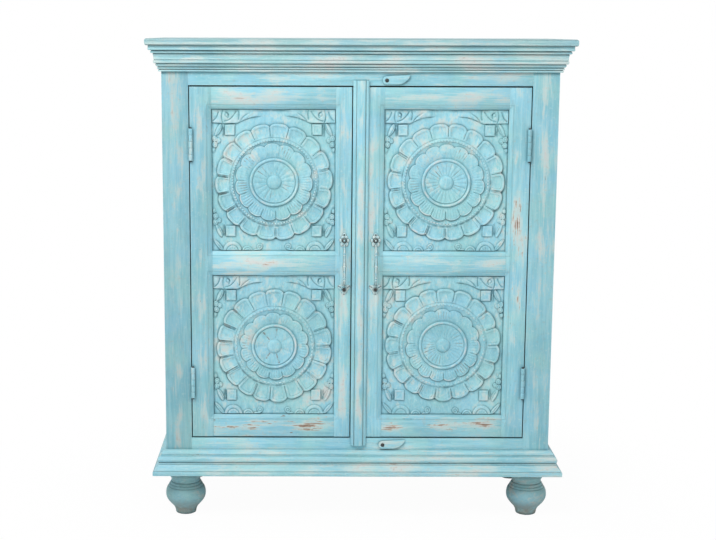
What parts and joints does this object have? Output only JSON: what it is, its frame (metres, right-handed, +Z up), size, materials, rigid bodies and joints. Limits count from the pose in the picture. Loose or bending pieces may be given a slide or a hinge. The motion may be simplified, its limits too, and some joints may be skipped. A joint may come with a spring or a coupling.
{
  "type": "low cabinet",
  "caption": "Low cupboard on turned feet with carved panelled doors hinged in a moulded case, a cover strip over their meeting line, pulls and swivel latches.",
  "frame": {"origin": "centre of the cabinet's plan, on the floor under its feet", "axes": "+Z up, -Y towards the person in front of the doors, +X to the right as the doors are faced"},
  "size_m": [1.004, 0.426, 1.169],
  "materials": {
    "turquoise_paint": "worn turquoise paint over brown wood, with cream undercoat showing",
    "worn_dark_paint": "grey-teal paint worn dark on the turned feet",
    "bare_wood": "unpainted brown hardwood",
    "painted_iron": "cast iron under worn turquoise paint",
    "painted_hinge": "steel painted with the doors",
    "dark_steel": "dull dark steel"
  },
  "bodies": {
    "case": {"back_boards": "bare_wood", "bottom_board": "bare_wood", "cornice_front": "turquoise_paint", "cornice_left": "turquoise_paint", "cornice_right": "turquoise_paint", "foot_blocks": "bare_wood", "frame_hinge_leaves": "painted_hinge", "frame_hinge_screws": "dark_steel", "front_bottom_rail": "turquoise_paint", "front_left_foot": "worn_dark_paint", "front_left_post": "turquoise_paint", "front_right_foot": "worn_dark_paint", "front_right_post": "turquoise_paint", "front_top_rail": "turquoise_paint", "hinge_pins": "dark_steel", "latch_screws": "dark_steel", "left_side_panels": "turquoise_paint", "left_side_rails": "turquoise_paint", "lower_shelf": "bare_wood", "plinth_front": "turquoise_paint", "plinth_left": "turquoise_paint", "plinth_right": "turquoise_paint", "rear_left_foot": "worn_dark_paint", "rear_left_post": "turquoise_paint", "rear_rails": "bare_wood", "rear_right_foot": "worn_dark_paint", "rear_right_post": "turquoise_paint", "right_side_panels": "turquoise_paint", "right_side_rails": "turquoise_paint", "shelf_cleats": "bare_wood", "top_board": "turquoise_paint", "upper_shelf": "bare_wood"},
    "left_door": {"left_bottom_rail": "turquoise_paint", "left_door_hinge_leaves": "painted_hinge", "left_door_hinge_screws": "dark_steel", "left_hinge_stile": "turquoise_paint", "left_lower_panel": "turquoise_paint", "left_meeting_stile": "turquoise_paint", "left_mid_rail": "turquoise_paint", "left_pull": "painted_iron", "left_pull_screws": "dark_steel", "left_top_rail": "turquoise_paint", "left_upper_panel": "turquoise_paint"},
    "right_door": {"right_bottom_rail": "turquoise_paint", "right_door_hinge_leaves": "painted_hinge", "right_door_hinge_screws": "dark_steel", "right_hinge_stile": "turquoise_paint", "right_lower_panel": "turquoise_paint", "right_meeting_stile": "turquoise_paint", "right_mid_rail": "turquoise_paint", "right_pull": "painted_iron", "right_pull_screws": "dark_steel", "right_top_rail": "turquoise_paint", "right_upper_panel": "turquoise_paint", "cover_strip": "turquoise_paint"},
    "upper_latch": {"upper_latch": "painted_iron"},
    "lower_latch": {"lower_latch": "painted_iron"}
  },
  "joints": [
    {"name": "left_door_hinge", "type": "hinge", "parent": "case", "child": "left_door", "pos_m": [-0.3993, -0.183, 0.6335], "axis": [0, 0, -1], "range_deg": [0, 160]},
    {"name": "right_door_hinge", "type": "hinge", "parent": "case", "child": "right_door", "pos_m": [0.3993, -0.183, 0.6335], "axis": [0, 0, 1], "range_deg": [0, 160]},
    {"name": "upper_latch_pivot", "type": "hinge", "parent": "case", "child": "upper_latch", "pos_m": [0.0615, -0.1814, 1.07325], "axis": [0, 1, 0], "range_deg": [-4, 120]},
    {"name": "lower_latch_pivot", "type": "hinge", "parent": "case", "child": "lower_latch", "pos_m": [0.0615, -0.1814, 0.18975], "axis": [0, -1, 0], "range_deg": [0, 110]}
  ]
}
